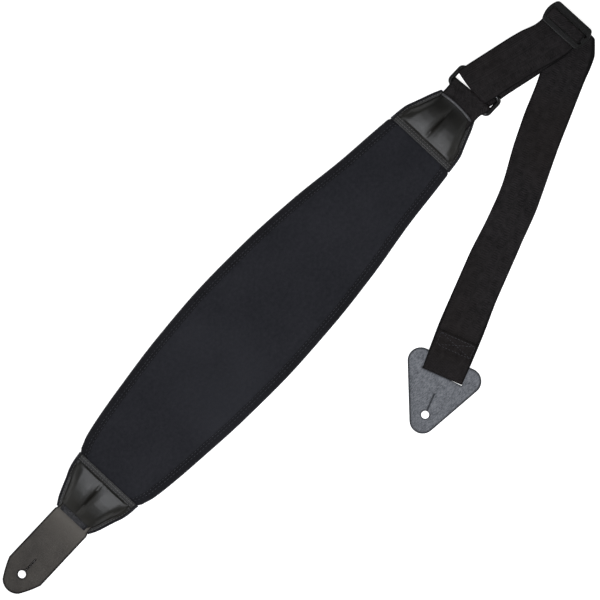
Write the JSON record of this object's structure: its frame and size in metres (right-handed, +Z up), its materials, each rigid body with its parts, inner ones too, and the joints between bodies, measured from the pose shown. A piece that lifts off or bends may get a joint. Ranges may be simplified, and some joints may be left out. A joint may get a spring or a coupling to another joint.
{
  "type": "padded shoulder strap",
  "caption": "Wide padded instrument shoulder strap with leather button tabs, puffed end caps, a ring, a sliding adjuster and a folded webbing run.",
  "frame": {"origin": "centre of the tail tab's button hole, on the surface the strap lies on", "axes": "+X along the pad from the tail tab to the ring, +Z up out of the button hole, +Y to the left"},
  "size_m": [0.7061, 0.2386, 0.011],
  "materials": {
    "foam": "closed-cell foam",
    "pad_fabric": "knitted facing, matt",
    "backing_fabric": "brushed knit",
    "binding": "knit binding",
    "thread": "polyester thread",
    "cap_leather": "glossy synthetic leather",
    "piping": "glossy cord piping",
    "tab_leather": "smooth dark brown-grey leather",
    "suede": "grey suede side out",
    "webbing": "woven polypropylene webbing",
    "ring_enamel": "glossy black enamel",
    "slider_plastic": "moulded, satin gloss"
  },
  "bodies": {
    "pad": {"pad_core": "foam", "inner_control_tape": "webbing", "pad_facing": "pad_fabric", "pad_backing": "backing_fabric", "edge_binding_left": "binding", "edge_binding_right": "binding", "binding_thread": "thread", "tail_cap_back": "cap_leather", "tail_cap_front": "cap_leather", "head_cap_back": "cap_leather", "head_cap_front": "cap_leather", "tail_cap_pillows": "foam", "head_cap_pillows": "foam", "tail_cap_thread": "thread", "head_cap_thread": "thread", "tail_cap_hem": "cap_leather", "head_cap_piping": "piping", "tail_tab_root": "tab_leather", "anchor_root": "webbing", "anchor_loop": "webbing"},
    "tail_tab": {"tail_tab": "tab_leather"},
    "ring": {"ring": "ring_enamel"},
    "adjuster": {"ring_wrap": "webbing", "adjuster_front_layer": "webbing", "adjuster_back_layer": "webbing"},
    "slider": {"glide": "slider_plastic", "sewn_end_loop": "webbing", "webbing_over_bar": "webbing", "bar_tack": "thread"},
    "fold": {"webbing_fold": "webbing"},
    "long_strap": {"long_run_near": "webbing", "long_run": "webbing", "end_flap": "webbing", "box_thread": "thread"},
    "head_tab": {"head_tab": "suede", "tab_wrap": "webbing"}
  },
  "joints": [
    {"name": "tail_tab_flex", "type": "hinge", "parent": "pad", "child": "tail_tab", "pos_m": [0.062, 0, 0.0028], "axis": [0, 1, 0], "range_deg": [-60, 60]},
    {"name": "ring_swing", "type": "hinge", "parent": "pad", "child": "ring", "pos_m": [0.5701, 0.001, 0.0036], "axis": [0, -1, 0], "range_deg": [-85, 85]},
    {"name": "adjuster_swing", "type": "hinge", "parent": "ring", "child": "adjuster", "pos_m": [0.5879, 0.001, 0.0036], "axis": [0, -1, 0], "range_deg": [-85, 85]},
    {"name": "slider_slide", "type": "slide", "parent": "adjuster", "child": "slider", "axis": [-0.9699, 0.2436, 0], "range_m": [-0.06, 0.045], "deforming": ["adjuster_front_layer", "adjuster_back_layer"]},
    {"name": "run_unfold", "type": "hinge", "parent": "slider", "child": "fold", "pos_m": [0.6815, -0.02469, 0.002], "axis": [0.0523, -0.9986, 0], "range_deg": [0, 180]},
    {"name": "run_feed", "type": "slide", "parent": "fold", "child": "long_strap", "axis": [-0.9092, -0.4163, 0], "range_m": [-0.12, 0.09], "deforming": ["long_run_near"]},
    {"name": "head_tab_flex", "type": "hinge", "parent": "long_strap", "child": "head_tab", "pos_m": [0.39472, -0.14345, 0.0013], "axis": [-0.3322, 0.9432, 0], "range_deg": [-70, 70]}
  ],
  "couplings": [
    {"joint": "run_feed", "follows": "slider_slide", "ratio": 2}
  ]
}
